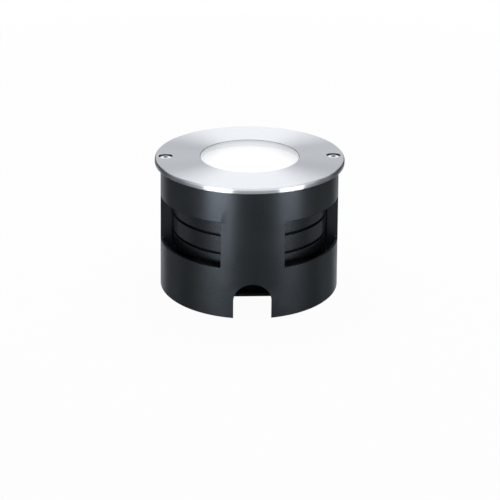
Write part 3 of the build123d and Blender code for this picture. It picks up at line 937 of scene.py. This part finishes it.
grainedSurface = {
    "grainDetail": 3.0,
    "grainStrength": 0.5,
    "grainSwing": 0.16,
    "grainsPerCloud": 1.0 / 0.12,
    "cloudSwing": 0.10,
}


def grainedFinish(name):
    look = grainedLooks[name] | grainedSurface
    material, wires = newMaterial(name)
    place = wires.place()
    grain = wires.noise(place, look["grain"], look["grainDetail"])
    cloud = wires.noise(place, look["grain"] * look["grainsPerCloud"])
    finishWith(wires, {
        "Base Color": cloud.shades(look["colour"], 1.0 - look["spread"], 1.0 + look["spread"]),
        "Roughness": look["roughness"] + grain.swing(look["grainSwing"]) + cloud.swing(look["cloudSwing"]),
        "Normal": grain.bump(look["grainStrength"], look["depth"]),
    })
    return material


dress(grainedFinish("sealRubber"), "glass_gasket", "cover_seal", "gland_washer", "gland_bush")
dress(grainedFinish("glandNylon"), "gland_body", "gland_cap")
dress(grainedFinish("thermalPad"), "thermal_pad")
dress(grainedFinish("ferriteInductor"), "drive_inductor")
dress(grainedFinish("epoxyChips"), "driver_chips")
dress(grainedFinish("terminalPlastic"), "terminal_block")
print("seals, gland and driver parts finished")

# Circuit boards: solder mask over copper, the tracks a little raised
boardLooks = {
    "whiteMask": {
        "mask": (0.78, 0.79, 0.77), "track": (0.70, 0.68, 0.60), "roughness": 0.30, "pitch": 3.2 * mm,
    },
    "greenMask": {
        "mask": (0.012, 0.085, 0.035), "track": (0.030, 0.150, 0.055), "roughness": 0.26, "pitch": 2.4 * mm,
    },
}
boardSurface = {
    "trackWithin": (0.30, 0.38),
    "trackDepth": 0.03 * mm,
    "trackStrength": 0.5,
    "weave": 0.4 * mm,
    "weaveSwing": 0.12,
}


def solderMask(name):
    look = boardLooks[name] | boardSurface
    material, wires = newMaterial(name)
    place = wires.place()
    cells = {"Vector": place, "Scale": 1.0 / look["pitch"], "Randomness": 0.0}
    spacing = wires.node("TexVoronoi", {"distance": "CHEBYCHEV"}, cells, "Distance")
    weave = wires.noise(place, look["weave"])
    track = 1.0 - spacing.between(*look["trackWithin"])
    finishWith(wires, {
        "Base Color": track.blend(opaque(look["mask"]), opaque(look["track"])),
        "Roughness": look["roughness"] + weave.swing(look["weaveSwing"]),
        "Normal": track.bump(look["trackStrength"], look["trackDepth"]),
    })
    return material


dress(solderMask("whiteMask"), "led_board")
dress(solderMask("greenMask"), "driver_board")

# LED chips: a yellow phosphor square in a white frame
phosphor = {
    "phosphor": (0.80, 0.52, 0.05),
    "frame": (0.80, 0.80, 0.78),
    "ringRadius": 6.0 * mm,
    "half": 1.15 * mm,
    "soft": 0.15 * mm,
    "chips": 6,
    "roughness": 0.30,
    "frameRougher": 0.2,
    "speck": 0.12 * mm,
    "speckDepth": 0.02 * mm,
    "speckStrength": 0.4,
    "speckSwing": 0.1,
}


def phosphorChips():
    look = phosphor
    material, wires = newMaterial("phosphorChips")
    place = wires.place()
    x, y = place.split()[:2]
    step = 2 * math.pi / look["chips"]
    angle = x.maths("ARCTAN2", y, x) + step / 2
    turned = angle.maths("FLOORED_MODULO", angle, step) - step / 2
    radius = distance(x, y)
    outward = radius * turned.maths("COSINE", turned) - look["ringRadius"]
    across = radius * turned.maths("SINE", turned)
    ringSpan = outward.absolute().larger(across.absolute())
    middleSpan = x.absolute().larger(y.absolute())
    span = ringSpan.maths("MINIMUM", ringSpan, middleSpan)
    edge = span.between(look["half"], look["half"] + look["soft"])
    speck = wires.noise(place, look["speck"])
    finishWith(wires, {
        "Base Color": edge.blend(opaque(look["phosphor"]), opaque(look["frame"])),
        "Roughness": look["roughness"] + edge * look["frameRougher"] + speck.swing(look["speckSwing"]),
        "Normal": speck.bump(look["speckStrength"], look["speckDepth"]),
    })
    return material


dress(phosphorChips(), "led_chips")
print("boards and chips finished")

# Capacitor: dark sleeve with a pale stripe, bare aluminium at the end
capacitor = {
    "sleeve": (0.010, 0.013, 0.045),
    "stripe": (0.42, 0.44, 0.47),
    "can": (0.62, 0.63, 0.64),
    "stripeHalf": 1.1 * mm,
    "stripeSoft": 0.1 * mm,
    "sideSoft": 0.2 * mm,
    "shoulder": 0.35 * mm,
    "roughness": 0.28,
    "gloss": 1.5 * mm,
    "glossSwing": 0.15,
}


def capacitorSleeve():
    look = capacitor
    low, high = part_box("smoothing_capacitor")
    middle = (low + high) / 2
    material, wires = newMaterial("capacitorSleeve")
    place = wires.place()
    x, y, z = place.split()
    sideways = (y - middle.y).absolute()
    outer = (middle.x - x).between(0.0, look["sideSoft"])
    stripeEdge = sideways.between(look["stripeHalf"], look["stripeHalf"] + look["stripeSoft"])
    stripe = (1.0 - stripeEdge) * outer
    bare = 1.0 - z.between(low.z, low.z + look["shoulder"])
    gloss = wires.noise(place, look["gloss"])
    wrapped = stripe.blend(opaque(look["sleeve"]), opaque(look["stripe"]))
    finishWith(wires, {
        "Base Color": bare.blend(wrapped, opaque(look["can"])),
        "Metallic": bare,
        "Roughness": look["roughness"] + gloss.swing(look["glossSwing"]),
    })
    return material


dress(capacitorSleeve(), "smoothing_capacitor")

# LED leads: one red and one black core sleeve
leads = {
    "red": (0.36, 0.012, 0.010),
    "black": (0.012, 0.012, 0.013),
    "parting": 30.0,
    "partingSoft": 0.1 * mm,
    "roughness": 0.45,
    "scuff": 0.8 * mm,
    "scuffDetail": 3.0,
    "scuffDepth": 0.02 * mm,
    "scuffStrength": 0.3,
    "scuffSwing": 0.2,
}


def leadSleeves():
    look = leads
    material, wires = newMaterial("leadSleeves")
    place = wires.place()
    x, y = place.split()[:2]
    parting = math.tan(math.radians(look["parting"]))
    second = (y - x * parting).between(-look["partingSoft"], look["partingSoft"])
    scuff = wires.noise(place, look["scuff"], look["scuffDetail"])
    finishWith(wires, {
        "Base Color": second.blend(opaque(look["red"]), opaque(look["black"])),
        "Roughness": look["roughness"] + scuff.swing(look["scuffSwing"]),
        "Normal": scuff.bump(look["scuffStrength"], look["scuffDepth"]),
    })
    return material


dress(leadSleeves(), "led_leads")
print("capacitor and leads finished")
